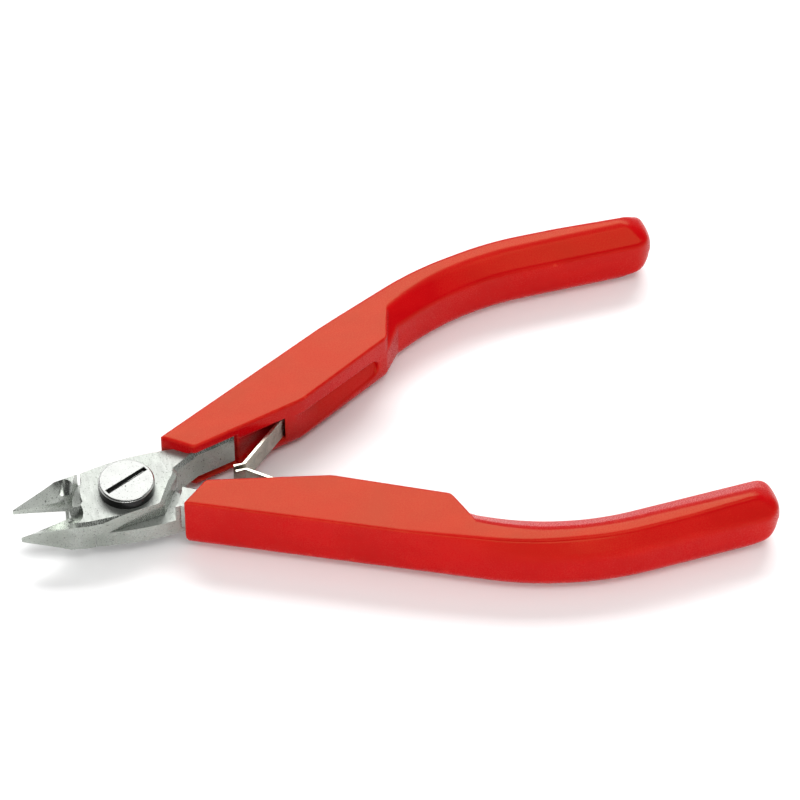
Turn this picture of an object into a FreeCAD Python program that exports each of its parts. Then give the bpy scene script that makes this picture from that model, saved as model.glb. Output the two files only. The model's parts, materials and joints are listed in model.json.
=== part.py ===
"""Small diagonal cutting pliers with a screwed lap joint, moulded grips and two leaf springs.

Each half is drawn in its own closed frame: pivot axis at the origin, cutting edge along -X,
handle towards +X and +Y, joint plane at Z = 0.  The lower half is the upper half turned over
about X.  Placements then open the two halves to the rest angle and stand the tool on the
undersides of its grips.  Sizes are in millimetres.
"""
import FreeCAD, Part
import math
import os
import Sketcher
from FreeCAD import Placement, Rotation, Vector

DIMENSIONS = {
    # whole tool
    "half_open": 8.7,           # degrees between each half's axis and the middle plane at rest
    "centre_x": 37.25,          # pivot to the middle of the tool's length
    "rest_height": 5.0,         # joint plane above the surface that the grips rest on
    # lap joint
    "plate": 2.9,               # thickness of one joint plate
    "plate_gap": 0.06,          # play between the two plates
    "shoulder_radius": 8.1,     # recess that the other half's plate turns in
    "boss_radius": 6.85,        # rounded front end of the plate
    "crown_radius": 40.0,       # long curve of the plate's outer side
    "plate_front_x": 5.45,
    "plate_front_y": 4.1,
    "plate_corner_x": 5.2,
    "plate_corner_y": 5.55,
    "plate_heel_x": 5.6,
    "plate_heel_y": 4.4,
    "crotch_x": 3.96,
    "crotch_y": 4.71,
    "crotch_mid_x": 6.41,
    "crotch_mid_y": 1.76,
    "crotch_end_x": 7.5,
    "crotch_end_y": 0.75,
    # jaw
    "jaw_reach": 16.84,
    "edge_gap": 0.02,           # each cutting edge from the middle plane, closed
    "jaw_root_x": 7.3,
    "jaw_root_y": 0.45,
    "jaw_heel_x": 7.6,
    "jaw_heel_y": 4.05,
    "jaw_side_radius": 60.0,
    "jaw_tip_width": 0.3,
    "jaw_chamfer": 0.5,
    "crown_chamfer": 1.1,
    # jaw bevels: fold above the cutting edge, then the hollow face up to the ridge
    "fold_root_y": 0.3,
    "fold_root_z": 1.1,
    "fold_tip_y": 0.1,
    "fold_tip_z": 0.2,
    "ridge_root_y": 3.5,
    "ridge_root_z": 2.4,
    "ridge_tip_y": 0.3,
    "ridge_tip_z": 0.7,
    "under_ridge_root_z": 3.1,
    "under_ridge_tip_z": 0.25,
    "cove_radius": 1.9,         # round relief between the hollow face and the joint
    "cove_x": 9.2,
    "cove_z": 2.72,
    "cove_slope": 41.1,
    # tang
    "tang_x": 7.4,
    "tang_y": 4.5,
    "tang_end_x": 56.5,
    "tang_end_y": 19.6,
    "tang_end_width": 2.8,
    "tang_end_radius": 1.43,
    "tang_back_x": 20.5,
    "tang_back_y": 5.2,
    "tang_step_x": 18.7,
    "tang_step_y": 3.6,
    "tang_nose_x": 18.2,
    "tang_nose_y": 2.35,
    "tang_face_x": 12.0,
    "tang_face_y": 1.85,
    "tang_inner_x": 8.05,
    "tang_inner_y": 0.25,
    "tang_chamfer": 0.6,
    "tang_play": 0.45,          # between the tang's root and the grip's open front
    # pivot screw
    "head_diameter": 8.3,
    "head_height": 1.78,
    "head_chamfer": 0.25,
    "head_play": 0.02,
    "shank_diameter": 5.0,
    "shank_play": 0.04,         # radial
    "thread_diameter": 4.0,
    "thread_play": 0.01,        # radial
    "slot_length": 7.1,
    "slot_width": 0.8,
    "slot_depth": 0.9,
    "slot_angle": 23.9,
    # grip
    "grip_low": 5.0,            # joint plane down to the underside
    "grip_high": 4.8,           # joint plane up to the top
    "grip_edge": 0.8,           # edge rounding of the front block
    "tail_edge": 2.65,
    "rounding_length": 20.0,    # length over which the edges grow rounder
    "grip_angle": 18.0,         # front run of the handle from the closed axis
    "tail_angle": 9.7,          # rear run, the other way
    "bend_x": 50.5,             # outer side, where the bend starts
    "bend_y": 19.6,
    "bend_radius": 50.0,
    "bend_width": 6.8,          # grip's width where the bend starts
    "inner_radius": 41.45,      # inner side of the bend
    "seam_length": 8.0,         # outer side's corner ahead of the bend
    "tail_straight": 17.4,
    "tail_end_radius": 3.502,
    "corner_radius": 1.0,       # upright corners
    "front_x": 7.65,
    "nose_x": 11.5,
    "nose_y": 1.5,
    "kink_x": 29.8,
    "kink_y": 3.2,
    "step_x": 46.6,
    "step_y": 9.2,
    "step_back_x": 49.9,
    # spring groove in the grip's inner side
    "groove_x": 27.0,
    "groove_end_x": 42.0,
    "groove_height": 3.6,
    "groove_depth": 1.2,
    # leaf springs and their pins
    "leaf_x": 28.57,            # pin axis in the half's closed frame
    "leaf_y": 4.9,
    "leaf_angle": 33.2,         # leaf from the half's axis at rest
    "leaf_length": 12.9,        # eye to bend
    "leaf_tip": 1.6,            # bent end, which lies along the middle plane at rest
    "leaf_bend": 41.9,
    "leaf_width": 3.8,
    "leaf_thick": 0.5,
    "eye_radius": 1.2,
    "pin_diameter": 1.2,
    "pin_length": 6.4,
    "pin_play": 0.05,           # radial
    "leaf_travel": 12.9,        # degrees that a leaf turns in its grip
    "slot_play": 0.35,
    "mouth_reach": 10.9,        # length and depth of the mouth that the leaf folds into
    "mouth_depth": 0.95,
    "mouth_spare": 4.0,         # degrees past the open leaf
}

GREAT = 1.0                     # how far a cutting tool passes the face that it cuts
SAME = 0.01                     # points closer than this are one corner


def make_sheet(doc):
    """The spreadsheet of driving dimensions, one named cell each."""
    sheet = doc.addObject("Spreadsheet::Sheet", "Sheet")
    for row, (alias, value) in enumerate(DIMENSIONS.items(), start=1):
        sheet.set("A%d" % row, alias)
        sheet.set("B%d" % row, str(value))
        sheet.setAlias("B%d" % row, alias)
    doc.recompute()
    return sheet


def origin_plane(body, role):
    """One of a body's own origin planes."""
    return next(plane for plane in body.Origin.OriginFeatures if plane.Role == role)


def new_sketch(body, name, role="XY_Plane"):
    """An empty sketch on one of a body's own origin planes."""
    sketch = body.newObject("Sketcher::SketchObject", name)
    sketch.AttachmentSupport = (origin_plane(body, role), [""])
    sketch.MapMode = "FlatFace"
    return sketch


def arc_between(start, end, radius):
    """Arc from start to end that turns clockwise if radius is positive; and its two ends' order."""
    middle = (start + end) * 0.5
    chord = end - start
    height = math.sqrt(radius * radius - (chord.Length / 2) ** 2)
    across = Vector(chord.y, -chord.x, 0).normalize()
    centre = middle + across * height * math.copysign(1, radius)
    first, last = (end, start) if radius > 0 else (start, end)
    begin = math.atan2(first.y - centre.y, first.x - centre.x)
    finish = math.atan2(last.y - centre.y, last.x - centre.x)
    circle = Part.Circle(centre, Vector(0, 0, 1), abs(radius))
    order = (2, 1) if radius > 0 else (1, 2)
    return Part.ArcOfCircle(circle, begin, finish), order


def draw_outline(sketch, corners):
    """Closed outline.  A corner is (x, y) or (x, y, radius) in the sheet's terms; the radius
    bends the run that leaves the corner, clockwise if positive."""
    points = [Vector(float(sketch.evalExpression(corner[0])), float(sketch.evalExpression(corner[1])), 0)
              for corner in corners]
    orders = []
    for index, corner in enumerate(corners):
        start = points[index]
        end = points[(index + 1) % len(points)]
        if len(corner) == 3:
            curve, order = arc_between(start, end, float(sketch.evalExpression(corner[2])))
        else:
            curve, order = Part.LineSegment(start, end), (1, 2)
        sketch.addGeometry(curve, False)
        orders.append(order)
    for index, corner in enumerate(corners):
        following = (index + 1) % len(corners)
        sketch.addConstraint(Sketcher.Constraint(
            "Coincident", index, orders[index][1], following, orders[following][0]))
        for kind, point, text in (("DistanceX", points[index].x, corner[0]),
                                  ("DistanceY", points[index].y, corner[1])):
            number = sketch.addConstraint(Sketcher.Constraint(
                kind, -1, 1, index, orders[index][0], point))
            sketch.setExpression("Constraints[%d]" % number, text)
        if len(corner) == 3:
            radius = abs(float(sketch.evalExpression(corner[2])))
            number = sketch.addConstraint(Sketcher.Constraint("Radius", index, radius))
            sketch.setExpression("Constraints[%d]" % number, "abs(%s)" % corner[2])


def pad(body, sketch, length, symmetric=True):
    """Extrude a sketch, on both sides of its plane unless told otherwise."""
    feature = body.newObject("PartDesign::Pad", sketch.Name + "_pad")
    feature.Profile = sketch
    feature.SideType = "Symmetric" if symmetric else "One side"
    feature.setExpression("Length", length)
    return feature


def edges_on(shape, height, wanted):
    """Names of the edges that lie flat at a height and whose middle passes the test."""
    names = []
    for number, edge in enumerate(shape.Edges, start=1):
        middle = edge.valueAt((edge.FirstParameter + edge.LastParameter) / 2)
        box = edge.BoundBox
        if abs(box.ZMin - height) < SAME and abs(box.ZMax - height) < SAME and wanted(middle):
            names.append("Edge%d" % number)
    return names


def dress(doc, body, kind, name, size, wanted, heights):
    """Chamfer or fillet the flat edges of a body's present shape at the given heights."""
    doc.recompute()
    base = body.Tip
    names = [edge for height in heights for edge in edges_on(base.Shape, height, wanted)]
    feature = body.newObject("PartDesign::" + kind, name)
    feature.Base = (base, names)
    feature.setExpression("Size" if kind == "Chamfer" else "Radius", size)
    return feature


STEEL_OUTLINE = [
    ("-Sheet.jaw_reach", "-Sheet.edge_gap"),
    ("-Sheet.jaw_root_x", "-Sheet.edge_gap"),
    ("-sqrt(Sheet.boss_radius ^ 2 - Sheet.jaw_root_y ^ 2)", "Sheet.jaw_root_y", "Sheet.boss_radius"),
    ("-Sheet.plate_front_x", "Sheet.plate_front_y"),
    ("-Sheet.plate_corner_x", "Sheet.plate_corner_y", "Sheet.crown_radius"),
    ("Sheet.tang_x", "Sheet.tang_y"),
    ("Sheet.tang_end_x", "Sheet.tang_end_y", "Sheet.tang_end_radius"),
    ("Sheet.tang_end_x + Sheet.tang_end_width * sin(Sheet.grip_angle)",
     "Sheet.tang_end_y - Sheet.tang_end_width * cos(Sheet.grip_angle)"),
    ("Sheet.tang_back_x", "Sheet.tang_back_y"),
    ("Sheet.tang_step_x", "Sheet.tang_step_y"),
    ("Sheet.tang_nose_x", "Sheet.tang_nose_y"),
    ("Sheet.tang_face_x", "Sheet.tang_face_y"),
    ("Sheet.tang_inner_x", "Sheet.tang_inner_y"),
    ("Sheet.crotch_end_x", "-Sheet.crotch_end_y"),
    ("Sheet.crotch_mid_x", "-Sheet.crotch_mid_y"),
    ("Sheet.crotch_x", "-Sheet.crotch_y"),
    ("-Sheet.plate_heel_x", "-Sheet.plate_heel_y"),
    ("-Sheet.jaw_heel_x", "-Sheet.jaw_heel_y", "Sheet.jaw_side_radius"),
    ("-Sheet.jaw_reach", "-Sheet.edge_gap - Sheet.jaw_tip_width"),
]


def steel_blank(doc, name):
    """A half's whole outline, as thick as both plates together."""
    body = doc.addObject("PartDesign::Body", name)
    sketch = new_sketch(body, name + "_outline")
    draw_outline(sketch, STEEL_OUTLINE)
    pad(body, sketch, "2 * Sheet.plate")
    doc.recompute()
    return body


def hole_through(doc, body, diameter):
    """Round hole on the pivot axis, right through."""
    sketch = new_sketch(body, body.Name + "_bore")
    sketch.addGeometry(Part.Circle(Vector(), Vector(0, 0, 1), 1.0), False)
    sketch.addConstraint(Sketcher.Constraint("Coincident", 0, 3, -1, 1))
    number = sketch.addConstraint(Sketcher.Constraint("Radius", 0, 1.0))
    sketch.setExpression("Constraints[%d]" % number, diameter + " / 2")
    pocket = body.newObject("PartDesign::Pocket", body.Name + "_bore_cut")
    pocket.Profile = sketch
    pocket.SideType = "Symmetric"
    pocket.setExpression("Length", "4 * Sheet.plate")
    doc.recompute()


def joint_recess(doc, name):
    """Room below the joint plane for the other half's plate."""
    tool = doc.addObject("Part::Cylinder", name)
    tool.setExpression("Radius", "Sheet.shoulder_radius")
    tool.setExpression("Height", "2 * Sheet.plate + Sheet.plate_gap / 2")
    tool.setExpression("Placement.Base.z", "-2 * Sheet.plate")
    return tool


def bevel_tool(doc, sheet, name, side, ridge_root_z, ridge_tip_z):
    """What is ground off one side of a jaw: a steep edge bevel, then the hollow face up to the
    ridge.  side is +1 above the joint plane and -1 below."""
    above = 2 * sheet.plate

    def section(x, fold_y, fold_z, ridge_y, ridge_z):
        slope = (ridge_z - fold_z) / (ridge_y - fold_y)
        far_y = fold_y + (above - fold_z) / slope
        corners = [(GREAT, 0), (-sheet.edge_gap, 0), (-fold_y, fold_z), (-far_y, above), (GREAT, above)]
        points = [Vector(x, y, side * z) for y, z in corners]
        return Part.makePolygon(points + points[:1])

    root = section(-sheet.cove_x, sheet.fold_root_y, sheet.fold_root_z,
                   sheet.ridge_root_y, ridge_root_z)
    tip = section(-sheet.jaw_reach - GREAT, sheet.fold_tip_y, sheet.fold_tip_z,
                  sheet.ridge_tip_y, ridge_tip_z)
    tool = doc.addObject("Part::Feature", name)
    tool.Shape = Part.makeLoft([root, tip], True, True)
    return tool


def cove_tool(doc, name, side):
    """Round cutter that leaves the relief at a jaw's root, leaning up towards the ridge."""
    tool = doc.addObject("Part::Cylinder", name)
    tool.setExpression("Radius", "Sheet.cove_radius")
    tool.setExpression("Height", "4 * Sheet.plate")
    tilt = "90 - Sheet.cove_slope" if side > 0 else "90 + Sheet.cove_slope"
    tool.setExpression("Placement", "create(<<placement>>; create(<<vector>>; -Sheet.cove_x; 0; %s"
                       "Sheet.cove_z); create(<<rotation>>; 0; 0; %s))" % ("" if side > 0 else "-", tilt))
    return tool


def steel_half(doc, sheet, label, bore):
    """One forged half: jaw, joint plate and tang."""
    body = steel_blank(doc, label + "_blank")

    def jaw_side(point):
        return point.y < -sheet.jaw_tip_width and point.x < -sheet.plate_heel_x

    def crotch_side(point):
        return sheet.crotch_x < point.x < sheet.tang_nose_x and point.y < sheet.tang_nose_y

    def crown_side(point):
        return point.y > sheet.plate_corner_y and point.x < sheet.tang_end_x - sheet.tang_end_width

    dress(doc, body, "Chamfer", label + "_jaw_chamfer", "Sheet.jaw_chamfer", jaw_side,
          (sheet.plate, -sheet.plate))
    dress(doc, body, "Chamfer", label + "_crown_chamfer", "Sheet.crown_chamfer", crown_side,
          (sheet.plate,))
    dress(doc, body, "Chamfer", label + "_crotch_chamfer", "Sheet.tang_chamfer", crotch_side,
          (sheet.plate, -sheet.plate))
    hole_through(doc, body, bore)
    tools = doc.addObject("Part::MultiFuse", label + "_cuts")
    tools.Shapes = [joint_recess(doc, label + "_recess")]
    tools.Shapes += [bevel_tool(doc, sheet, label + "_bevel_top", 1,
                                sheet.ridge_root_z, sheet.ridge_tip_z),
                     bevel_tool(doc, sheet, label + "_bevel_under", -1,
                                sheet.under_ridge_root_z, sheet.under_ridge_tip_z),
                     cove_tool(doc, label + "_cove_top", 1),
                     cove_tool(doc, label + "_cove_under", -1)]
    half = doc.addObject("Part::Cut", label)
    half.Base = body
    half.Tool = tools
    return half


def pivot_screw(doc, sheet):
    """Slotted shoulder screw, drawn in the tool's middle frame."""
    body = doc.addObject("PartDesign::Body", "pivot_screw")
    profile = new_sketch(body, "screw_profile", "XZ_Plane")
    bottom = "Sheet.plate + Sheet.head_play"
    top = bottom + " + Sheet.head_height"
    rim = "Sheet.head_diameter / 2"
    draw_outline(profile, [
        ("0", "-Sheet.plate"),
        ("Sheet.thread_diameter / 2", "-Sheet.plate"),
        ("Sheet.thread_diameter / 2", "-Sheet.plate_gap / 2"),
        ("Sheet.shank_diameter / 2", "-Sheet.plate_gap / 2"),
        ("Sheet.shank_diameter / 2", bottom),
        (rim, bottom),
        (rim, top + " - Sheet.head_chamfer"),
        (rim + " - Sheet.head_chamfer", top),
        ("0", top),
    ])
    turned = body.newObject("PartDesign::Revolution", "screw_turned")
    turned.Profile = profile
    turned.ReferenceAxis = (profile, ["V_Axis"])
    turned.Angle = 360.0
    doc.recompute()
    slot = new_sketch(body, "screw_slot")
    slot.setExpression("AttachmentOffset.Base.z", top)
    half_length, half_width = "Sheet.slot_length / 2", "Sheet.slot_width / 2"
    draw_outline(slot, [("-" + half_length, "-" + half_width), (half_length, "-" + half_width),
                        (half_length, half_width), ("-" + half_length, half_width)])
    slot.setExpression("AttachmentOffset.Rotation.Angle", "Sheet.slot_angle")
    cut = body.newObject("PartDesign::Pocket", "screw_slot_cut")
    cut.Profile = slot
    cut.setExpression("Length", "Sheet.slot_depth")
    doc.recompute()
    return body


OUTER_END_X = "(Sheet.bend_x + Sheet.bend_radius * (sin(Sheet.grip_angle) + sin(Sheet.tail_angle)))"
OUTER_END_Y = "(Sheet.bend_y + Sheet.bend_radius * (cos(Sheet.tail_angle) - cos(Sheet.grip_angle)))"
INNER_CENTRE_X = "(Sheet.bend_x + (Sheet.bend_width + Sheet.inner_radius) * sin(Sheet.grip_angle))"
INNER_CENTRE_Y = "(Sheet.bend_y - (Sheet.bend_width + Sheet.inner_radius) * cos(Sheet.grip_angle))"
TAIL_WIDTH = ("((Sheet.bend_width + Sheet.inner_radius - Sheet.bend_radius)"
              " * cos(Sheet.grip_angle + Sheet.tail_angle) - Sheet.inner_radius + Sheet.bend_radius)")
TAIL_END_X = OUTER_END_X + " + Sheet.tail_straight * cos(Sheet.tail_angle)"
TAIL_END_Y = OUTER_END_Y + " - Sheet.tail_straight * sin(Sheet.tail_angle)"

GRIP_OUTLINE = [
    ("Sheet.front_x", "Sheet.bend_y - (Sheet.bend_x - Sheet.front_x) * tan(Sheet.grip_angle)"),
    ("Sheet.bend_x - Sheet.seam_length * cos(Sheet.grip_angle)",
     "Sheet.bend_y - Sheet.seam_length * sin(Sheet.grip_angle)"),
    ("Sheet.bend_x", "Sheet.bend_y", "Sheet.bend_radius"),
    (OUTER_END_X, OUTER_END_Y),
    (TAIL_END_X, TAIL_END_Y, "Sheet.tail_end_radius"),
    (TAIL_END_X + " - %s * sin(Sheet.tail_angle)" % TAIL_WIDTH,
     TAIL_END_Y + " - %s * cos(Sheet.tail_angle)" % TAIL_WIDTH),
    (INNER_CENTRE_X + " + Sheet.inner_radius * sin(Sheet.tail_angle)",
     INNER_CENTRE_Y + " + Sheet.inner_radius * cos(Sheet.tail_angle)", "-Sheet.inner_radius"),
    ("Sheet.bend_x + Sheet.bend_width * sin(Sheet.grip_angle)",
     "Sheet.bend_y - Sheet.bend_width * cos(Sheet.grip_angle)"),
    ("Sheet.step_back_x", "Sheet.bend_y - Sheet.bend_width / cos(Sheet.grip_angle)"
     " - (Sheet.bend_x - Sheet.step_back_x) * tan(Sheet.grip_angle)"),
    ("Sheet.step_x", "Sheet.step_y"),
    ("Sheet.kink_x", "Sheet.kink_y"),
    ("Sheet.nose_x", "Sheet.nose_y"),
]


def grip_rounding(sheet, x):
    """Edge rounding of a grip: crisp along the front block, growing to the tail's full round."""
    share = (x - sheet.bend_x + sheet.seam_length) / sheet.rounding_length
    return sheet.grip_edge + (sheet.tail_edge - sheet.grip_edge) * min(max(share, 0.0), 1.0)


def grip_solid(doc, sheet, name, low, high):
    """The whole outer form of a grip: its outline raised, then every rim rounded."""
    body = doc.addObject("PartDesign::Body", name + "_form")
    sketch = new_sketch(body, name + "_outline")
    draw_outline(sketch, GRIP_OUTLINE)
    sketch.setExpression("AttachmentOffset.Base.z", "-" + low)
    pad(body, sketch, low + " + " + high, symmetric=False)
    doc.recompute()
    upright = []
    for number, edge in enumerate(body.Shape.Edges, start=1):
        foot, head = edge.firstVertex().Point, edge.lastVertex().Point
        corner = any(math.hypot(foot.x - x, foot.y - y) < SAME for x, y in (
            (sheet.step_x, sheet.step_y), (sheet.nose_x, sheet.nose_y)))
        if corner and abs(foot.z - head.z) > SAME:
            upright.append("Edge%d" % number)
    raised = body.Tip
    eased = body.newObject("PartDesign::Fillet", name + "_corners")
    eased.Base = (raised, upright)
    eased.setExpression("Radius", "Sheet.corner_radius")
    doc.recompute()
    rims = []
    for number, edge in enumerate(body.Shape.Edges, start=1):
        foot, head = edge.firstVertex().Point, edge.lastVertex().Point
        if abs(foot.z - head.z) < SAME:
            rims.append((number, grip_rounding(sheet, foot.x), grip_rounding(sheet, head.x)))
    solid = doc.addObject("Part::Fillet", name)
    solid.Base = body
    solid.Edges = rims
    return solid


def prism(doc, name, corners, half_height):
    """Upright prism through the joint plane, from a sketch, to cut with."""
    body = doc.addObject("PartDesign::Body", name)
    sketch = new_sketch(body, name + "_outline")
    draw_outline(sketch, corners)
    pad(body, sketch, "2 * " + half_height)
    return body


def groove_tools(doc, name):
    """Long groove with a round rear end in the grip's inner side."""
    turn = "atan2(Sheet.step_y - Sheet.kink_y; Sheet.step_x - Sheet.kink_x)"
    run = "create(<<rotation>>; %s; 0; %s)"
    box = doc.addObject("Part::Box", name + "_run")
    box.setExpression("Length", "Sheet.groove_end_x - Sheet.groove_x")
    box.setExpression("Width", "Sheet.groove_depth * 3")
    box.setExpression("Height", "Sheet.groove_height")
    side = "Sheet.kink_y + (%s - Sheet.kink_x) * tan(" + turn + ") + %s / cos(" + turn + ")"
    box.setExpression("Placement", "create(<<placement>>; create(<<vector>>; Sheet.groove_x; %s; "
                      "-Sheet.groove_height / 2); %s)"
                      % (side % ("Sheet.groove_x", "(-2) * Sheet.groove_depth"), run % (turn, "0")))
    end = doc.addObject("Part::Cylinder", name + "_end")
    end.setExpression("Radius", "Sheet.groove_height / 2")
    end.setExpression("Height", "Sheet.groove_depth * 3")
    end_x = "(Sheet.groove_x + (Sheet.groove_end_x - Sheet.groove_x) * cos(" + turn + "))"
    end.setExpression("Placement", "create(<<placement>>; create(<<vector>>; %s; %s; 0); %s)"
                      % (end_x, side % (end_x, "(-2) * Sheet.groove_depth"), run % (turn, "-90")))
    return [box, end]


def leaf_slot_tools(doc, sheet, name):
    """Round seat for the leaf's eye and the fan-shaped mouth that the leaf swings in."""
    seat = doc.addObject("Part::Cylinder", name + "_seat")
    seat.setExpression("Radius", "Sheet.eye_radius + Sheet.slot_play")
    seat.setExpression("Height", "Sheet.leaf_width + Sheet.slot_play")
    seat.setExpression("Placement", "create(<<placement>>; create(<<vector>>; Sheet.leaf_x; Sheet.leaf_y; "
                       "-(Sheet.leaf_width + Sheet.slot_play) / 2); create(<<rotation>>; 0; 0; 0))")
    opened = "(Sheet.leaf_angle + Sheet.mouth_spare)"
    folded = "(Sheet.leaf_angle - Sheet.leaf_travel)"
    corners = [
        ("Sheet.leaf_x + Sheet.slot_play", "Sheet.leaf_y - Sheet.eye_radius"),
        ("Sheet.leaf_x - Sheet.mouth_reach * cos(%s)" % opened,
         "Sheet.leaf_y - Sheet.eye_radius - Sheet.mouth_reach * sin(%s)" % opened),
        ("Sheet.leaf_x - Sheet.mouth_reach * cos(%s)" % folded,
         "Sheet.leaf_y + Sheet.mouth_depth - Sheet.mouth_reach * sin(%s)" % folded),
        ("Sheet.leaf_x", "Sheet.leaf_y + Sheet.mouth_depth"),
    ]
    return [seat, prism(doc, name + "_mouth", corners, "((Sheet.leaf_width + Sheet.slot_play) / 2)")]


def grip(doc, sheet, label, low, high):
    """One moulded grip, hollowed for the tang, the leaf spring and its pin."""
    shell = grip_solid(doc, sheet, label + "_shell", low, high)
    mouth = prism(doc, label + "_mouth", [
        ("Sheet.boss_radius", "-Sheet.nose_y"),
        ("Sheet.tang_nose_x + Sheet.tang_play", "-Sheet.nose_y"),
        ("Sheet.tang_nose_x + Sheet.tang_play", "Sheet.tang_nose_y + Sheet.tang_play"),
        ("Sheet.tang_face_x", "Sheet.tang_face_y + Sheet.tang_play"),
        ("Sheet.boss_radius", "Sheet.tang_face_y"),
    ], "Sheet.plate")
    hole = doc.addObject("Part::Cylinder", label + "_pin_hole")
    hole.setExpression("Radius", "Sheet.pin_diameter / 2")
    hole.setExpression("Height", "Sheet.pin_length")
    hole.setExpression("Placement", "create(<<placement>>; create(<<vector>>; Sheet.leaf_x; Sheet.leaf_y; "
                       "-Sheet.pin_length / 2); create(<<rotation>>; 0; 0; 0))")
    cuts = doc.addObject("Part::MultiFuse", label + "_cuts")
    cuts.Shapes = ([steel_blank(doc, label + "_cavity"), mouth, hole] + groove_tools(doc, label + "_groove")
                   + leaf_slot_tools(doc, sheet, label + "_leaf"))
    part = doc.addObject("Part::Cut", label)
    part.Base = shell
    part.Tool = cuts
    return part


def leaf_spring(doc, label):
    """Spring strip with a rolled eye at its root and a bent tip; its own frame starts at the
    eye's axis and runs out along -X."""
    body = doc.addObject("PartDesign::Body", label)
    strip = new_sketch(body, label + "_strip")
    half = "Sheet.leaf_thick / 2"
    start = "-(Sheet.eye_radius + Sheet.pin_diameter / 2) / 2"
    tip_x = "-Sheet.leaf_length - Sheet.leaf_tip * cos(Sheet.leaf_bend)"
    tip_y = "Sheet.leaf_tip * sin(Sheet.leaf_bend)"
    mitre = "Sheet.leaf_thick / 2 * tan(Sheet.leaf_bend / 2)"
    draw_outline(strip, [
        (start, half),
        ("-Sheet.leaf_length - " + mitre, half),
        (tip_x + " + %s * sin(Sheet.leaf_bend)" % half, tip_y + " + %s * cos(Sheet.leaf_bend)" % half),
        (tip_x + " - %s * sin(Sheet.leaf_bend)" % half, tip_y + " - %s * cos(Sheet.leaf_bend)" % half),
        ("-Sheet.leaf_length + " + mitre, "-" + half),
        (start, "-" + half),
    ])
    pad(body, strip, "Sheet.leaf_width")
    doc.recompute()
    eye = new_sketch(body, label + "_eye")
    eye.addGeometry(Part.Circle(Vector(), Vector(0, 0, 1), 1.0), False)
    eye.addConstraint(Sketcher.Constraint("Coincident", 0, 3, -1, 1))
    number = eye.addConstraint(Sketcher.Constraint("Radius", 0, 1.0))
    eye.setExpression("Constraints[%d]" % number, "Sheet.eye_radius")
    pad(body, eye, "Sheet.leaf_width")
    doc.recompute()
    hole_through(doc, body, "(Sheet.pin_diameter + 2 * Sheet.pin_play)")
    return body


def spring_pin(doc, label):
    """Straight pin through a leaf's eye, its frame at the middle of the pin."""
    body = doc.addObject("PartDesign::Body", label)
    circle = new_sketch(body, label + "_round")
    circle.addGeometry(Part.Circle(Vector(), Vector(0, 0, 1), 1.0), False)
    circle.addConstraint(Sketcher.Constraint("Coincident", 0, 3, -1, 1))
    number = circle.addConstraint(Sketcher.Constraint("Radius", 0, 1.0))
    circle.setExpression("Constraints[%d]" % number, "Sheet.pin_diameter / 2")
    pad(body, circle, "Sheet.pin_length")
    return body


def place_parts(sheet, parts):
    """Open the halves to the rest angle and stand the tool on its grips."""
    middle = Placement(Vector(-sheet.centre_x, 0, sheet.rest_height), Rotation())
    upper = middle.multiply(Placement(Vector(), Rotation(sheet.half_open, 0, 0)))
    lower = middle.multiply(Placement(Vector(), Rotation(-sheet.half_open, 0, 180)))
    root = Placement(Vector(sheet.leaf_x, sheet.leaf_y, 0), Rotation())
    leaf = root.multiply(Placement(Vector(), Rotation(sheet.leaf_angle, 0, 0)))
    places = {
        "lower_half": lower, "upper_half": upper, "pivot_screw": middle,
        "grip_near": lower, "grip_far": upper,
        "leaf_spring_near": lower.multiply(leaf), "leaf_spring_far": upper.multiply(leaf),
        "spring_pin_near": lower.multiply(root), "spring_pin_far": upper.multiply(root),
    }
    for part in parts:
        part.Placement = places[part.Label]


def check(doc, parts):
    """Stop if any object failed or any sub-part is not one valid solid."""
    for thing in doc.Objects:
        if "Invalid" in thing.State or "Error" in thing.State:
            raise RuntimeError("%s did not build: %s" % (thing.Label, thing.State))
    for part in parts:
        if part.Shape.isNull() or not part.Shape.isValid() or len(part.Shape.Solids) != 1:
            raise RuntimeError("%s is not one valid solid" % part.Label)


def main():
    doc = FreeCAD.newDocument("diagonal_cutting_pliers")
    sheet = make_sheet(doc)
    parts = [
        steel_half(doc, sheet, "lower_half", "(Sheet.thread_diameter + 2 * Sheet.thread_play)"),
        steel_half(doc, sheet, "upper_half", "(Sheet.shank_diameter + 2 * Sheet.shank_play)"),
        pivot_screw(doc, sheet),
        grip(doc, sheet, "grip_near", "Sheet.grip_high", "Sheet.grip_low"),
        grip(doc, sheet, "grip_far", "Sheet.grip_low", "Sheet.grip_high"),
    ]
    for side in ("near", "far"):
        parts.append(leaf_spring(doc, "leaf_spring_" + side))
        parts.append(spring_pin(doc, "spring_pin_" + side))
    doc.recompute()
    place_parts(sheet, parts)
    doc.recompute()
    check(doc, parts)
    os.makedirs("parts", exist_ok=True)
    for part in parts:
        part.Shape.exportStep("parts/%s.step" % part.Label)
        box = part.Shape.BoundBox
        print("%-18s volume %8.2f  z %.2f..%.2f" % (part.Label, part.Shape.Volume, box.ZMin, box.ZMax))


main()
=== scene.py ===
"""Looks of the small diagonal cutting pliers: moulded red grips, polished steel, studio light.

Lengths in this script are millimetres unless a name says otherwise; Blender's are metres.  A grip
is described in its half's closed frame: pivot axis at the origin, cutting edge along -X, handle
towards +X and +Y, joint plane at Z = 0.
"""

import json
import math

import bmesh
import bpy
import numpy as np
from mathutils import Matrix, Vector

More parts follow.
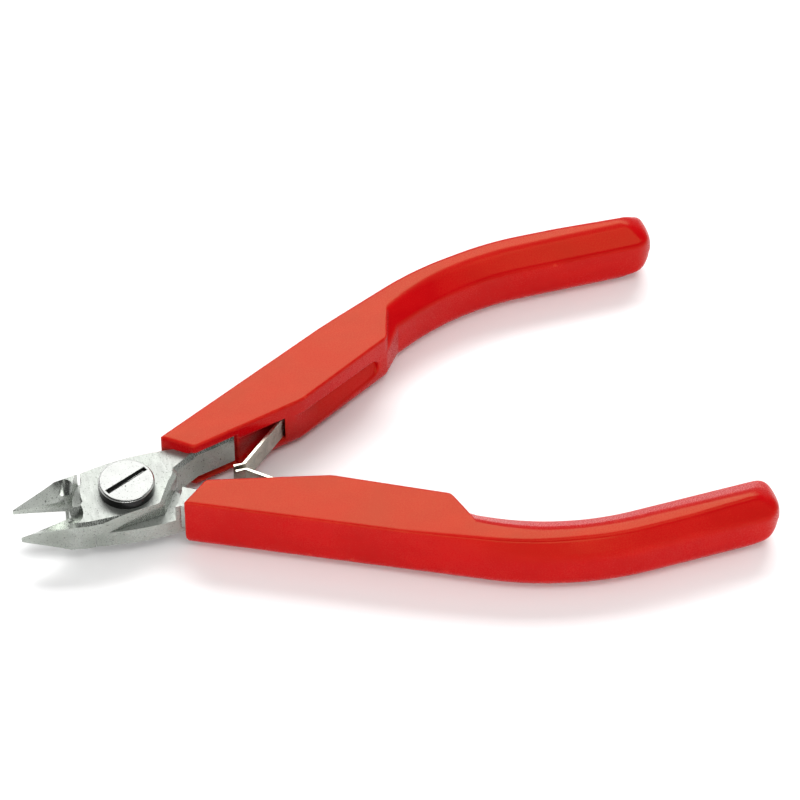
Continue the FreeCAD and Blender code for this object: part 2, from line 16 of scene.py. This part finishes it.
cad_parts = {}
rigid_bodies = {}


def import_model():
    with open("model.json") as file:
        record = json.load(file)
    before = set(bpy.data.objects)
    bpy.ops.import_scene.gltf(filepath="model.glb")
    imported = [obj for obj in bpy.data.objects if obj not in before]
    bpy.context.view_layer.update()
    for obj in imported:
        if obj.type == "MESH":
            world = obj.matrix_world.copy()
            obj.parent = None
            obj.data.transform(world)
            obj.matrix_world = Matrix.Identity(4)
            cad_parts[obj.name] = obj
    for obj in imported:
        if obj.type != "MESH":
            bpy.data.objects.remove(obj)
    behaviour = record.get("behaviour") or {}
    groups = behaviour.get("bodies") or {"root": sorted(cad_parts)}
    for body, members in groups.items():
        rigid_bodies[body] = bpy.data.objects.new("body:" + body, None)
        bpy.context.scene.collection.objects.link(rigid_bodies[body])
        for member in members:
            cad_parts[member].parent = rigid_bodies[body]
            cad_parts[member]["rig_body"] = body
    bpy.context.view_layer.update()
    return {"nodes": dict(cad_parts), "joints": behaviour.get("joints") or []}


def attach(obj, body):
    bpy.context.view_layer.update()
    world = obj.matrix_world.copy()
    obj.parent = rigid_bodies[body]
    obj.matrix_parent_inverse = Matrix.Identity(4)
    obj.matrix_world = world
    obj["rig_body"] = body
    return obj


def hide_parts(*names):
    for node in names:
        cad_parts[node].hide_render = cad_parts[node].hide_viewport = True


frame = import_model()

MM = 0.001
JOINTS = {joint["name"]: joint for joint in frame["joints"]}
PIVOT = Vector(JOINTS["jaw_pivot"]["pos_m"]) / MM
HALF_OPEN = JOINTS["jaw_pivot"]["range_deg"][1] / 2


# ---------------------------------------------------------------- camera, floor and light

CAMERA_AZIMUTH = -17.035
CAMERA_ELEVATION = 47.775
CAMERA_ROLL = 0.08
CAMERA_DISTANCE = 620.15
CAMERA_AIM = Vector((44.05, 7.53, 0))        # from the pivot
CAMERA_LENS = 186.15

# Soft lights: name, place and size in millimetres from the tool's middle, power in watts.
LIGHTS = (("softbox", (217, 707, 814), (1000, 430), 13.0),
          ("front", (-300, -1000, 330), (900, 300), 6.5),
          ("overhead", (197, -320, 927), (500, 400), 2.0))

# The surroundings' brightness against a direction's height: 0 level or lower, 1 straight up.
SURROUNDINGS = ((0.0, 0.8), (0.4, 0.7), (0.55, 0.06), (0.84, 0.06), (0.93, 0.9), (1.0, 0.9))


def add_camera():
    """The camera, turned about the pivot's frame."""
    azimuth, elevation = math.radians(CAMERA_AZIMUTH), math.radians(CAMERA_ELEVATION)
    back = Vector((math.sin(azimuth) * math.cos(elevation), -math.cos(azimuth) * math.cos(elevation),
                   math.sin(elevation)))
    data = bpy.data.cameras.new("camera")
    data.lens = CAMERA_LENS
    data.sensor_width = 36.0
    data.clip_end = 20.0
    camera = bpy.data.objects.new("camera", data)
    roll = Matrix.Rotation(math.radians(CAMERA_ROLL), 3, "Z")
    turn = back.to_track_quat("Z", "Y").to_matrix() @ roll
    place = (PIVOT + CAMERA_AIM + back * CAMERA_DISTANCE) * MM
    camera.matrix_world = Matrix.Translation(place) @ turn.to_4x4()
    bpy.context.scene.collection.objects.link(camera)
    bpy.context.scene.camera = camera


def add_floor():
    """A plain pale floor."""
    mesh = bpy.data.meshes.new("floor")
    reach = 3.0
    corners = [(-reach, -reach, 0), (reach, -reach, 0), (reach, reach, 0), (-reach, reach, 0)]
    mesh.from_pydata(corners, [], [(0, 1, 2, 3)])
    floor = bpy.data.objects.new("floor", mesh)
    bpy.context.scene.collection.objects.link(floor)
    material = bpy.data.materials.new("floor")
    material.use_nodes = True
    shader = material.node_tree.nodes["Principled BSDF"]
    shader.inputs["Base Color"].default_value = (0.98, 0.98, 0.98, 1)
    shader.inputs["Roughness"].default_value = 1.0
    shader.inputs["Specular IOR Level"].default_value = 0.0
    mesh.materials.append(material)


def add_light(name, place, size, power):
    """A rectangular soft light that faces the tool's middle."""
    data = bpy.data.lights.new(name, "AREA")
    data.shape = "RECTANGLE"
    data.size, data.size_y = size[0] * MM, size[1] * MM
    data.energy = power
    light = bpy.data.objects.new(name, data)
    place = Vector(place) * MM
    turn = place.to_track_quat("Z", "Y").to_matrix().to_4x4()
    light.matrix_world = Matrix.Translation(place) @ turn
    bpy.context.scene.collection.objects.link(light)


def add_world():
    """Studio surroundings in bands: bright round the horizon, dark above it and pale overhead, so
    that polished steel shows all three."""
    world = bpy.data.worlds.new("surroundings")
    world.use_nodes = True
    nodes, links = world.node_tree.nodes, world.node_tree.links
    coordinates = nodes.new("ShaderNodeTexCoord")
    split = nodes.new("ShaderNodeSeparateXYZ")
    ramp = nodes.new("ShaderNodeValToRGB")
    for position, _ in SURROUNDINGS[1:-1]:
        ramp.color_ramp.elements.new(position)
    for element, (position, tone) in zip(ramp.color_ramp.elements, SURROUNDINGS):
        element.position = position
        element.color = (tone, tone, tone, 1)
    links.new(coordinates.outputs["Generated"], split.inputs["Vector"])
    links.new(split.outputs["Z"], ramp.inputs["Fac"])
    links.new(ramp.outputs["Color"], nodes["Background"].inputs["Color"])
    nodes["Background"].inputs["Strength"].default_value = 1.2
    bpy.context.scene.world = world
    bpy.context.scene.view_settings.view_transform = "Standard"


# ---------------------------------------------------------------- shapes from a distance function

def surface_net(distance, low, high, step):
    """Closed quad mesh where distance(x, y, z) is zero, one vertex in each grid cell that the
    surface passes.  Returns the vertices and the quads."""
    axes = [np.arange(low[i], high[i] + step, step) for i in range(3)]
    field = distance(axes[0][:, None, None], axes[1][None, :, None], axes[2][None, None, :])
    inside = field < 0
    cells = tuple(len(axis) - 1 for axis in axes)
    total = np.zeros(cells + (3,))
    count = np.zeros(cells)

    def part(corner, array):
        return array[tuple(slice(c, c + n) for c, n in zip(corner, cells))]

    for axis in range(3):
        sides = [i for i in range(3) if i != axis]
        for a in (0, 1):
            for b in (0, 1):
                start = [0, 0, 0]
                start[sides[0]], start[sides[1]] = a, b
                end = list(start)
                end[axis] = 1
                first, last = part(start, field), part(end, field)
                crossed = part(start, inside) != part(end, inside)
                share = np.where(crossed, first / np.where(crossed, first - last, 1), 0)
                offset = np.array(start, float)[None, None, None, :] * crossed[..., None]
                offset[..., axis] += share
                total += offset
                count += crossed
    used = count > 0
    number = np.full(cells, -1)
    number[used] = np.arange(used.sum())
    grid = np.stack(np.nonzero(used), 1)
    vertices = np.array(low) + (grid + total[used] / count[used][:, None]) * step
    quads = []
    for axis in range(3):
        a, b = [i for i in range(3) if i != axis]
        if axis == 1:
            a, b = b, a
        near = [slice(1, n) for n in cells]
        near[axis] = slice(0, cells[axis])
        far = list(near)
        far[axis] = slice(1, cells[axis] + 1)
        here, there = inside[tuple(near)], inside[tuple(far)]
        for leaving in (True, False):
            spots = np.stack(np.nonzero((here != there) & (here == leaving)), 1)
            spots[:, [i for i in range(3) if i != axis]] += 1
            ring = []
            for da, db in ((-1, -1), (0, -1), (0, 0), (-1, 0)):
                cell = spots.copy()
                cell[:, a] += da
                cell[:, b] += db
                ring.append(number[cell[:, 0], cell[:, 1], cell[:, 2]])
            quads.append(np.stack(ring if leaving else ring[::-1], 1))
    return vertices, np.concatenate(quads)


def settle(distance, vertices, rounds=3):
    """Move vertices onto the surface along the distance's own slope."""
    reach, longest_move, least_slope = 0.02, 0.1, 0.5
    for _ in range(rounds):
        x, y, z = vertices.T
        value = distance(x, y, z)
        slope = np.stack([
            distance(x + reach, y, z) - distance(x - reach, y, z),
            distance(x, y + reach, z) - distance(x, y - reach, z),
            distance(x, y, z + reach) - distance(x, y, z - reach)], 1) / (2 * reach)
        size = np.maximum((slope ** 2).sum(1), least_slope ** 2)
        vertices = vertices - np.clip(value / size, -longest_move, longest_move)[:, None] * slope
    return vertices


def outline_distance(x, y, points):
    """Signed distance in plan to a closed outline, negative inside."""
    x, y = np.broadcast_arrays(x, y)
    nearest = np.full(x.shape, np.inf)
    inside = np.zeros(x.shape, bool)
    for (ax, ay), (bx, by) in zip(points, np.roll(points, -1, axis=0)):
        dx, dy = bx - ax, by - ay
        along = np.clip(((x - ax) * dx + (y - ay) * dy) / (dx * dx + dy * dy), 0, 1)
        nearest = np.minimum(nearest, (x - ax - along * dx) ** 2 + (y - ay - along * dy) ** 2)
        if ay != by:
            crosses = (ay > y) != (by > y)
            inside ^= crosses & (x < ax + (y - ay) * dx / dy)
    return np.sqrt(nearest) * np.where(inside, -1, 1)


def meet(a, b, blend):
    """Where both solids are, their common edge rounded over the blend's width."""
    near = np.maximum(blend - np.abs(a - b), 0) / blend
    return np.maximum(a, b) + near ** 2 * blend / 4


def rounded_slab(plan, over, radius):
    """An outline raised to a slab with its rims rounded; over is the distance past its flat
    faces."""
    a, b = plan + radius, over + radius
    outer = np.sqrt(np.maximum(a, 0) ** 2 + np.maximum(b, 0) ** 2)
    return outer + np.minimum(np.maximum(a, b), 0) - radius


# ---------------------------------------------------------------- grips

GRIP_LOW, GRIP_HIGH = -5.0, 4.8
FRONT_ANGLE, TAIL_ANGLE = 18.0, -9.7
BEND = np.array((50.5, 19.6))                # outer side, where the bend starts
BEND_RADIUS, BEND_WIDTH = 50.0, 6.8
INNER_RADIUS = 41.45
TAIL_STRAIGHT = 17.4
FRONT_X = 7.65
NOSE = np.array((11.5, 1.5))
KINK = np.array((29.8, 3.2))
STEP = np.array((46.6, 9.2))
STEP_BACK_X = 49.9
STEP_TOP = np.array((49.4, 14.8))            # where the step's rear face meets the tail's top
CORNER_RADIUS = 1.0
KINK_RADIUS = 6.0
TOP_EDGE, TAIL_EDGE, UNDER_EDGE = 0.35, 2.65, 2.4
END_ROUND, END_UNDER = 4.9, 9.0              # the tail's end from the side, above and below
END_BLEND, LEAST_END_BLEND = 1.2, 0.01
OUTER_BEVEL_HEIGHT, INNER_BEVEL_HEIGHT = 3.0, 2.1   # the sloping sides under the narrow top
OUTER_BEVEL = ((38.0, 0.02), (50.5, 0.75), (63.0, 1.5), (80.0, 1.6), (90.0, 2.1))
INNER_BEVEL = ((49.4, 2.7), (58.0, 3.1), (68.0, 3.0), (90.0, 3.3))
NET_STEP = 0.22
ARC_POINTS = 24

GROOVE_TOP, GROOVE_FOOT = 1.7, -2.5
GROOVE_FROM, GROOVE_TO = -1.8, 16.0          # along the run from the kink to the step
GROOVE_RAMP = 6.0                            # over which the groove reaches its depth
GROOVE_DEPTH = 1.25
GROOVE_NARROWING = 0.07                      # height lost per millimetre of run
GROOVE_LIFT = 0.4                            # share of that loss by which the middle rises
GROOVE_LIP = 0.8                             # full depth from this far under the top rim
GROOVE_START = 0.1                           # share of the depth where the groove begins

PIN = np.array((28.57, 4.9))
LEAF_ANGLE, LEAF_TRAVEL = 33.2, 12.9
MOUTH_REACH, MOUTH_DEPTH = 10.9, 0.95
LEAF_PLAY = 0.45                             # slot's rear wall from the open leaf's middle
SLOT_HALF_HEIGHT = 2.1
TANG_MOUTH_HALF_HEIGHT = 3.1
CREASE = 0.45                                # blend of edges where two faces meet
TANG_MOUTH = np.array(((4.0, -1.5), (18.65, -1.5), (18.65, 2.8), (12.0, 2.3), (4.0, 1.85)))


def heading(degrees):
    """Unit vector."""
    return np.array((math.cos(math.radians(degrees)), math.sin(math.radians(degrees))))


def leftward(degrees):
    """Unit vector across a heading, to its left."""
    return heading(degrees + 90)


def arc(centre, radius, start, end, count):
    """Points along an arc whose radius vector turns from start to end."""
    return [centre + radius * heading(a) for a in np.linspace(start, end, count)]


def eased_corner(before, corner, after, radius, count=6):
    """Points of a round corner between two straight runs."""
    into = (corner - before) / np.linalg.norm(corner - before)
    out = (after - corner) / np.linalg.norm(after - corner)
    turn = math.acos(float(np.clip(into @ out, -1, 1)))
    back = radius * math.tan(turn / 2)
    start, end = corner - into * back, corner + out * back
    return [(1 - t) ** 2 * start + 2 * t * (1 - t) * corner + t ** 2 * end
            for t in np.linspace(0, 1, count)]


OUTER_CENTRE = BEND - leftward(FRONT_ANGLE) * BEND_RADIUS
INNER_CENTRE = BEND - leftward(FRONT_ANGLE) * (BEND_WIDTH + INNER_RADIUS)


def grip_outline():
    """A grip's outer form in plan, and the tail end's centre."""
    front = BEND - heading(FRONT_ANGLE) * (BEND[0] - FRONT_X) / math.cos(math.radians(FRONT_ANGLE))
    points = [front]
    points += arc(OUTER_CENTRE, BEND_RADIUS, 90 + FRONT_ANGLE, 90 + TAIL_ANGLE, ARC_POINTS)
    inner = arc(INNER_CENTRE, INNER_RADIUS, 90 + TAIL_ANGLE, 90 + FRONT_ANGLE, ARC_POINTS)
    half_width = float((points[-1] - inner[0]) @ leftward(TAIL_ANGLE)) / 2
    end = points[-1] + heading(TAIL_ANGLE) * TAIL_STRAIGHT - leftward(TAIL_ANGLE) * half_width
    points += arc(end, half_width, 90 + TAIL_ANGLE, TAIL_ANGLE - 90, ARC_POINTS)
    points += inner
    step_back = np.array((STEP_BACK_X, points[-1][1]
                          + (STEP_BACK_X - points[-1][0]) * math.tan(math.radians(FRONT_ANGLE))))
    points += [step_back]
    points += eased_corner(step_back, STEP, KINK, CORNER_RADIUS)
    points += eased_corner(STEP, KINK, NOSE, KINK_RADIUS)
    points += eased_corner(KINK, NOSE, front, CORNER_RADIUS)
    return np.array(points), end + heading(TAIL_ANGLE) * half_width


OUTLINE, TAIL_TIP = grip_outline()


def past_outer(x, y):
    """How far a point lies past the outer side."""
    end = OUTER_CENTRE + leftward(TAIL_ANGLE) * BEND_RADIUS
    front = (x - BEND[0]) * leftward(FRONT_ANGLE)[0] + (y - BEND[1]) * leftward(FRONT_ANGLE)[1]
    tail = (x - end[0]) * leftward(TAIL_ANGLE)[0] + (y - end[1]) * leftward(TAIL_ANGLE)[1]
    bend = np.hypot(x - OUTER_CENTRE[0], y - OUTER_CENTRE[1]) - BEND_RADIUS
    return np.where(x < BEND[0], front, np.where(x < end[0], bend, tail))


def past_inner(x, y):
    """How far a point lies past the tail's inner side."""
    end = INNER_CENTRE + leftward(TAIL_ANGLE) * INNER_RADIUS
    tail = (x - end[0]) * leftward(TAIL_ANGLE)[0] + (y - end[1]) * leftward(TAIL_ANGLE)[1]
    bend = INNER_RADIUS - np.hypot(x - INNER_CENTRE[0], y - INNER_CENTRE[1])
    return np.where(x < end[0], bend, -tail)


def bevel(past, x, z, insets, height):
    """Past the sloping face between a side and the narrower top; insets are (x, inset) pairs."""
    inset = np.interp(x, *zip(*insets))
    return ((past + inset) * height + (z - GRIP_HIGH) * inset) / np.hypot(inset, height)


def groove_distance(x, y, z):
    """The spring groove: deep under its top rim, its floor sloping out to the lower lip."""
    run = (STEP - KINK) / np.linalg.norm(STEP - KINK)
    along = (x - KINK[0]) * run[0] + (y - KINK[1]) * run[1]
    deep = (y - KINK[1]) * run[0] - (x - KINK[0]) * run[1]
    narrowing = GROOVE_NARROWING * np.maximum(along, 0) / 2
    half_height = (GROOVE_TOP - GROOVE_FOOT) / 2 - narrowing
    middle = (GROOVE_TOP + GROOVE_FOOT) / 2 + narrowing * GROOVE_LIFT
    ahead = np.maximum(along - (GROOVE_TO - half_height), 0)
    face = np.maximum(np.hypot(ahead, z - middle) - half_height, GROOVE_FROM - along)
    floor = GROOVE_DEPTH * np.clip((z - GROOVE_FOOT) / (GROOVE_TOP - GROOVE_FOOT - GROOVE_LIP), 0, 1)
    floor = floor * np.clip((along - GROOVE_FROM) / GROOVE_RAMP + GROOVE_START, 0, 1)
    return np.maximum(face, deep - floor)


def leaf_slot_distance(x, y, z):
    """The fan-shaped mouth that the leaf folds into."""
    opened = heading(180 + LEAF_ANGLE)
    folded = heading(180 + LEAF_ANGLE - LEAF_TRAVEL)
    beside = leftward(180 + LEAF_ANGLE) * LEAF_PLAY
    fan = np.array((PIN + beside, PIN + MOUTH_REACH * opened + beside,
                    PIN + MOUTH_REACH * folded + (0, MOUTH_DEPTH), PIN + (0, MOUTH_DEPTH)))
    return np.maximum(outline_distance(x, y, fan), np.abs(z) - SLOT_HALF_HEIGHT)


def tang_mouth_distance(x, y, z):
    """The open front of the block, where the tang's inner face shows."""
    return np.maximum(outline_distance(x, y, TANG_MOUTH), np.abs(z) - TANG_MOUTH_HALF_HEIGHT)


def grip_distance(x, y, z):
    """Signed distance to the far grip's surface in its closed frame."""
    middle = (GRIP_LOW + GRIP_HIGH) / 2
    plan = outline_distance(x, y, OUTLINE)
    over = np.abs(z - middle) - (GRIP_HIGH - GRIP_LOW) / 2
    share = np.clip((x - FRONT_X) / (TAIL_TIP[0] - FRONT_X), 0, 1)
    under = UNDER_EDGE + (TAIL_EDGE - UNDER_EDGE) * share
    body = rounded_slab(plan, over, np.where(z > 0, TOP_EDGE, under))
    outer = bevel(past_outer(x, y), x, z, OUTER_BEVEL, OUTER_BEVEL_HEIGHT)
    body = meet(body, outer, CREASE)
    rear = (STEP_TOP - STEP)[::-1] * (1, -1) / np.linalg.norm(STEP_TOP - STEP)
    ahead = -((x - STEP[0]) * rear[0] + (y - STEP[1]) * rear[1])
    inner = bevel(past_inner(x, y), x, z, INNER_BEVEL, INNER_BEVEL_HEIGHT)
    body = meet(body, -np.maximum(-inner, ahead), CREASE)
    run = np.where(z > middle, END_ROUND, END_UNDER)
    rearward = heading(TAIL_ANGLE)
    past = (x - TAIL_TIP[0]) * rearward[0] + (y - TAIL_TIP[1]) * rearward[1]
    past = (past + run) * END_ROUND / run
    end = np.hypot(np.maximum(past, 0), z - middle) - END_ROUND
    body = meet(body, end, np.clip(past / 2, LEAST_END_BLEND, END_BLEND))
    body = meet(body, -groove_distance(x, y, z), CREASE)
    body = meet(body, -leaf_slot_distance(x, y, z), CREASE)
    return meet(body, -tang_mouth_distance(x, y, z), CREASE)


def make_grips(material):
    """Both grips, one the mirror of the other."""
    low = OUTLINE.min(0) - 1
    high = OUTLINE.max(0) + 1
    vertices, quads = surface_net(grip_distance, (low[0], low[1], GRIP_LOW - 1),
                                  (high[0], high[1], GRIP_HIGH + 1), NET_STEP)
    vertices = settle(grip_distance, vertices)
    for node, side in (("grip_far", 1), ("grip_near", -1)):
        turn = math.radians(HALF_OPEN)
        x = vertices[:, 0] * math.cos(turn) - vertices[:, 1] * math.sin(turn)
        y = (vertices[:, 0] * math.sin(turn) + vertices[:, 1] * math.cos(turn)) * side
        placed = (np.stack([x, y, vertices[:, 2]], 1) + np.array(PIVOT)) * MM
        mesh = bpy.data.meshes.new(node + "_moulding")
        mesh.from_pydata(placed.tolist(), [], (quads if side > 0 else quads[:, ::-1]).tolist())
        mesh.shade_smooth()
        mesh.materials.append(material)
        piece = bpy.data.objects.new(node + "_moulding", mesh)
        bpy.context.scene.collection.objects.link(piece)
        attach(piece, frame["nodes"][node]["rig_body"])
        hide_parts(node)


# ---------------------------------------------------------------- steel pieces

SHARP_ANGLE = 24.0                           # edges sharper than this are broken
HALF_EDGE, SCREW_EDGE, STRIP_EDGE = 0.08, 0.06, 0.05


def make_steel(node, width, material):
    """A steel piece with its edges broken: the node's own form with a fine bevel."""
    source = frame["nodes"][node]
    form = bmesh.new()
    form.from_mesh(source.data)
    bmesh.ops.remove_doubles(form, verts=form.verts, dist=1e-7)
    bmesh.ops.dissolve_limit(form, angle_limit=math.radians(0.5), verts=form.verts, edges=form.edges)
    mesh = bpy.data.meshes.new(node + "_steel")
    form.to_mesh(mesh)
    form.free()
    mesh.shade_smooth()
    mesh.materials.append(material)
    piece = bpy.data.objects.new(node + "_steel", mesh)
    bpy.context.scene.collection.objects.link(piece)
    mesh.set_sharp_from_angle(angle=math.radians(SHARP_ANGLE))
    bevel = piece.modifiers.new("edges", "BEVEL")
    bevel.width = width * MM
    bevel.segments = 2
    bevel.limit_method = "ANGLE"
    bevel.angle_limit = math.radians(SHARP_ANGLE)
    flat = piece.modifiers.new("normals", "WEIGHTED_NORMAL")
    flat.keep_sharp = True
    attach(piece, source["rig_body"])
    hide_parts(node)


# ---------------------------------------------------------------- materials

class Surface:
    """A material under construction: its shader, and short ways to add and join nodes."""

    def __init__(self, name):
        self.material = bpy.data.materials.new(name)
        self.material.use_nodes = True
        self.nodes = self.material.node_tree.nodes
        self.links = self.material.node_tree.links
        self.shader = self.nodes["Principled BSDF"]
        self.place = self.nodes.new("ShaderNodeTexCoord").outputs["Object"]

    def link(self, source, target):
        self.links.new(source, target)

    def stretched(self, scale, turn=(0, 0, 0)):
        """The place with each axis scaled, to draw a pattern out into streaks."""
        mapping = self.nodes.new("ShaderNodeMapping")
        mapping.inputs["Scale"].default_value = scale
        mapping.inputs["Rotation"].default_value = [math.radians(angle) for angle in turn]
        self.link(self.place, mapping.inputs["Vector"])
        return mapping.outputs["Vector"]

    def noise(self, pitch, detail=3.0, place=None):
        """Noise whose grains are about pitch millimetres apart."""
        node = self.nodes.new("ShaderNodeTexNoise")
        node.inputs["Scale"].default_value = 1 / (pitch * MM)
        node.inputs["Detail"].default_value = detail
        self.link(place or self.place, node.inputs["Vector"])
        return node.outputs["Fac"]

    def spread(self, value, low, high, to_low, to_high):
        """A value's range from low to high, spread over another range and held at its ends."""
        node = self.nodes.new("ShaderNodeMapRange")
        limits = {"From Min": low, "From Max": high, "To Min": to_low, "To Max": to_high}
        for socket, number in limits.items():
            node.inputs[socket].default_value = number
        self.link(value, node.inputs["Value"])
        return node.outputs["Result"]

    def combine(self, operation, first, second):
        node = self.nodes.new("ShaderNodeMath")
        node.operation = operation
        self.link(first, node.inputs[0])
        if isinstance(second, float):
            node.inputs[1].default_value = second
        else:
            self.link(second, node.inputs[1])
        return node.outputs[0]

    def mix(self, share, first, second):
        """Colour from first to second; each is a colour or a node's output."""
        node = self.nodes.new("ShaderNodeMix")
        node.data_type = "RGBA"
        self.link(share, node.inputs["Factor"])
        for socket, colour in ((node.inputs[6], first), (node.inputs[7], second)):
            if isinstance(colour, tuple):
                socket.default_value = colour + (1,)
            else:
                self.link(colour, socket)
        return node.outputs[2]

    def upright(self, low, high):
        """0 on steep faces, 1 on level ones; low and high are the normal's height."""
        split = self.nodes.new("ShaderNodeSeparateXYZ")
        self.link(self.nodes.new("ShaderNodeNewGeometry").outputs["Normal"], split.inputs[0])
        return self.spread(self.combine("ABSOLUTE", split.outputs["Z"], 0.0), low, high, 0.0, 1.0)

    def painted_highlight_mask(self, low, high):
        """0 on flat ground, 1 on edges that stand out; the mask of the painted edge highlight."""
        pointiness = self.nodes.new("ShaderNodeNewGeometry").outputs["Pointiness"]
        return self.spread(pointiness, low, high, 0.0, 1.0)

    def bump(self, heights):
        """Bumps of each (height, distance in millimetres), one on the other."""
        normal = None
        for height, distance in heights:
            node = self.nodes.new("ShaderNodeBump")
            node.inputs["Strength"].default_value = 1.0
            node.inputs["Distance"].default_value = distance * MM
            self.link(height, node.inputs["Height"])
            if normal:
                self.link(normal, node.inputs["Normal"])
            normal = node.outputs["Normal"]
        self.link(normal, self.shader.inputs["Normal"])


def plastic():
    """Red moulded plastic: satin, with a fine sprayed grain, faint flow marks and painted highlights
    along its edges.
    """
    red = Surface("grip_plastic_red")
    cloud = red.noise(9.0, 4.0)
    flow = red.noise(3.0, 2.0, red.stretched((0.25, 1.0, 1.0), (0, 0, 18)))
    grain = red.noise(0.16, 2.0)
    fleck = red.noise(0.7, 5.0)
    tone = red.mix(red.spread(cloud, 0.35, 0.65, 0.0, 1.0), (0.39, 0.0006, 0.003), (0.43, 0.001, 0.004))
    tone = red.mix(red.spread(flow, 0.5, 0.7, 0.0, 0.35), tone, (0.47, 0.004, 0.005))
    # Painted highlight: edges that stand out are lightened in flecks, standing in for light that
    # catches them.
    painted_edge_highlight = red.combine("MULTIPLY", red.painted_highlight_mask(0.515, 0.56), red.spread(fleck, 0.4, 0.6, 0.3, 1.0))
    tone = red.mix(red.combine("MULTIPLY", painted_edge_highlight, 0.35), tone, (0.6, 0.06, 0.03))
    red.link(tone, red.shader.inputs["Base Color"])
    rough = red.combine("ADD", red.spread(cloud, 0.35, 0.65, 0.23, 0.28),
                        red.spread(grain, 0.3, 0.7, -0.03, 0.05))
    red.link(rough, red.shader.inputs["Roughness"])
    red.shader.inputs["Specular IOR Level"].default_value = 0.14
    red.shader.inputs["Specular Tint"].default_value = (1.0, 0.85, 0.3, 1)
    red.bump([(grain, 0.003), (fleck, 0.006)])
    return red.material


def forged_steel():
    """Tool steel with polished sides and matte ground flats, the flats painted darker as shade: cloudy
    tone, fine grinding lines and small specks."""
    steel = Surface("forged_steel_ground")
    flat = steel.upright(0.9, 0.99)
    cloud = steel.noise(4.0, 4.0)
    lines = steel.noise(0.12, 3.0, steel.stretched((1.0, 0.06, 0.5), (0, 0, 12)))
    speck = steel.noise(0.22, 6.0)
    tone = steel.mix(steel.spread(cloud, 0.35, 0.65, 0.0, 1.0), (0.36, 0.385, 0.35), (0.46, 0.48, 0.45))
    # Painted shade: level faces are painted darker, to temper their reflection of the softbox.
    tone = steel.mix(steel.combine("MULTIPLY", flat, 0.4), tone, (0.1, 0.1, 0.1))
    tone = steel.mix(steel.spread(speck, 0.6, 0.72, 0.0, 0.95), tone, (0.02, 0.02, 0.02))
    steel.link(tone, steel.shader.inputs["Base Color"])
    rough = steel.combine("ADD", steel.spread(cloud, 0.3, 0.7, 0.2, 0.3),
                          steel.spread(lines, 0.35, 0.65, -0.05, 0.06))
    rough = steel.combine("ADD", rough, steel.combine("MULTIPLY", flat, 0.28))
    steel.link(rough, steel.shader.inputs["Roughness"])
    steel.shader.inputs["Metallic"].default_value = 1.0
    steel.bump([(lines, 0.0008), (speck, 0.0015)])
    return steel.material


def screw_steel():
    """Turned steel: a matte top painted darker as shade, rings about the pivot axis, tiny pits, and a
    side wall painted near black as shade."""
    steel = Surface("screw_steel_turned")
    cloud = steel.noise(2.5, 4.0)
    speck = steel.noise(0.25, 6.0)
    split = steel.nodes.new("ShaderNodeVectorMath")
    split.operation = "SUBTRACT"
    steel.link(steel.place, split.inputs[0])
    split.inputs[1].default_value = PIVOT * MM
    flat = steel.nodes.new("ShaderNodeVectorMath")
    flat.operation = "MULTIPLY"
    flat.inputs[1].default_value = (1, 1, 0)
    steel.link(split.outputs[0], flat.inputs[0])
    reach = steel.nodes.new("ShaderNodeVectorMath")
    reach.operation = "LENGTH"
    steel.link(flat.outputs[0], reach.inputs[0])
    pitch = 0.09 * MM
    turns = steel.combine("MULTIPLY", reach.outputs["Value"], 2 * math.pi / pitch)
    rings = steel.combine("SINE", turns, 0.0)
    tone = steel.mix(steel.spread(cloud, 0.35, 0.65, 0.0, 1.0), (0.42, 0.43, 0.41), (0.52, 0.53, 0.51))
    tone = steel.mix(steel.spread(speck, 0.6, 0.72, 0.0, 0.95), tone, (0.02, 0.02, 0.02))
    # Painted shade: the level top is painted darker, to temper its reflection of the softbox.
    flat = steel.upright(0.9, 0.99)
    tone = steel.mix(steel.combine("MULTIPLY", flat, 0.5), tone, (0.1, 0.1, 0.1))
    # Painted shade: steep faces, the head's side wall, are painted near black.
    tone = steel.mix(steel.upright(0.25, 0.6), (0.03, 0.03, 0.03), tone)
    steel.link(tone, steel.shader.inputs["Base Color"])
    rough = steel.combine("ADD", steel.spread(cloud, 0.3, 0.7, 0.16, 0.26),
                          steel.combine("MULTIPLY", flat, 0.28))
    steel.link(rough, steel.shader.inputs["Roughness"])
    steel.shader.inputs["Metallic"].default_value = 1.0
    steel.bump([(rings, 0.0003), (speck, 0.0015)])
    return steel.material


def spring_steel():
    """Cold rolled strip: olive grey, with lines along the strip."""
    steel = Surface("spring_steel_strip")
    cloud = steel.noise(1.5, 4.0)
    lines = steel.noise(0.1, 3.0, steel.stretched((1.0, 1.0, 0.15)))
    tone = steel.mix(steel.spread(cloud, 0.35, 0.65, 0.0, 1.0), (0.3, 0.3, 0.25), (0.42, 0.41, 0.35))
    steel.link(tone, steel.shader.inputs["Base Color"])
    rough = steel.combine("ADD", steel.spread(cloud, 0.3, 0.7, 0.24, 0.34),
                          steel.spread(lines, 0.35, 0.65, -0.05, 0.06))
    steel.link(rough, steel.shader.inputs["Roughness"])
    steel.shader.inputs["Metallic"].default_value = 1.0
    steel.bump([(lines, 0.0008)])
    return steel.material


add_camera()
add_world()
add_floor()
for light in LIGHTS:
    add_light(*light)
make_grips(plastic())
forged = forged_steel()
spring = spring_steel()
for node in ("lower_half", "upper_half"):
    make_steel(node, HALF_EDGE, forged)
make_steel("pivot_screw", SCREW_EDGE, screw_steel())
for node in ("leaf_spring_near", "leaf_spring_far", "spring_pin_near", "spring_pin_far"):
    make_steel(node, STRIP_EDGE, spring)
